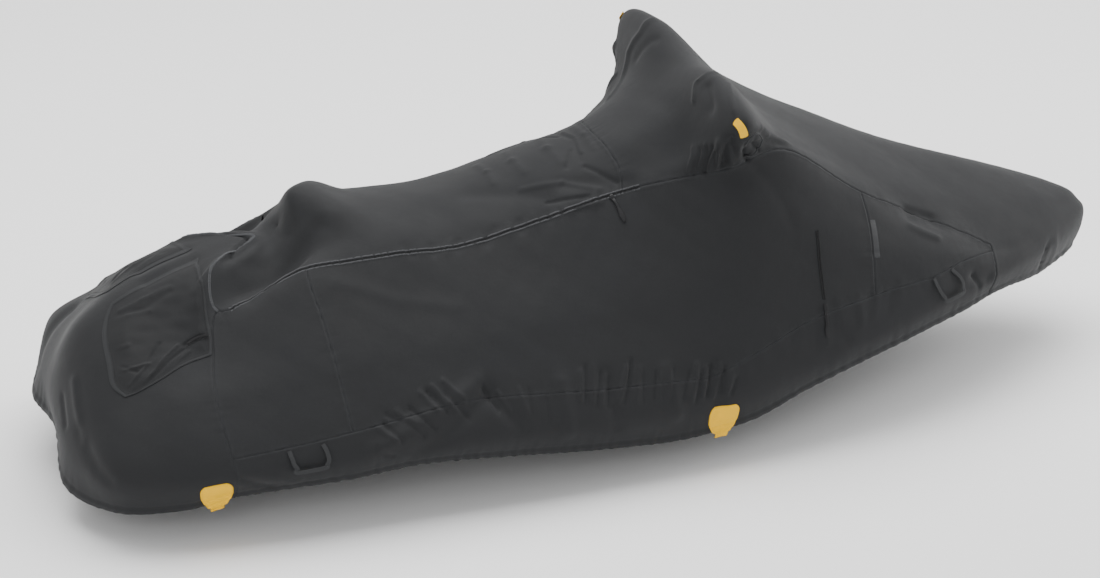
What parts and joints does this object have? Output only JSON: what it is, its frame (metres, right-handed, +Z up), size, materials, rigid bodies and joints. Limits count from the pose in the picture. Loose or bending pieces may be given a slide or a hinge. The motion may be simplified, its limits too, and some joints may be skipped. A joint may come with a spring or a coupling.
{
  "type": "personal watercraft cover",
  "caption": "Fitted hollow cloth cover with a low stern, a humped seat saddle, a raised hood with grip pods, gathered hem and pull tabs.",
  "frame": {"origin": "the point under the seat top where the thing it covers holds it up", "axes": "+X towards the bow, +Y to port, +Z up"},
  "size_m": [3.3919, 1.2696, 1.01],
  "materials": {
    "cover_cloth": "matt woven polyester",
    "gathered_cloth": "matt stretch cloth",
    "piping": "satin welt",
    "zip_tape": "woven tape with coil",
    "zip_pull": "moulded",
    "reflective_tape": "glass-bead tape",
    "webbing": "woven webbing",
    "black_strap": "woven strap",
    "yellow_rubber": "moulded satin"
  },
  "bodies": {
    "root": {"stern_panel": "cover_cloth", "seat_panel": "cover_cloth", "hood_panel": "cover_cloth", "seat_piping": "piping", "rear_pull": "zip_pull", "quarter_panel_starboard": "cover_cloth", "side_panel_starboard": "cover_cloth", "bow_side_panel_starboard": "cover_cloth", "skirt_starboard": "cover_cloth", "gathered_panel_starboard": "gathered_cloth", "seat_zip_starboard": "zip_tape", "seat_zip_pull_starboard": "zip_pull", "vent_zip_starboard": "zip_tape", "vent_zip_pull_starboard": "zip_pull", "reflective_strip_starboard": "reflective_tape", "pod_tag_starboard": "yellow_rubber", "drawcord_starboard": "webbing", "rear_loop_starboard": "webbing", "bow_loop_starboard": "webbing", "gathered_panel_strap_starboard": "black_strap", "rear_hem_tab_starboard": "yellow_rubber", "middle_hem_tab_starboard": "yellow_rubber", "quarter_panel_port": "cover_cloth", "side_panel_port": "cover_cloth", "bow_side_panel_port": "cover_cloth", "skirt_port": "cover_cloth", "gathered_panel_port": "gathered_cloth", "seat_zip_port": "zip_tape", "seat_zip_pull_port": "zip_pull", "vent_zip_port": "zip_tape", "vent_zip_pull_port": "zip_pull", "reflective_strip_port": "reflective_tape", "pod_tag_port": "yellow_rubber", "drawcord_port": "webbing", "rear_loop_port": "webbing", "bow_loop_port": "webbing", "gathered_panel_strap_port": "black_strap", "rear_hem_tab_port": "yellow_rubber", "middle_hem_tab_port": "yellow_rubber"}
  },
  "joints": []
}
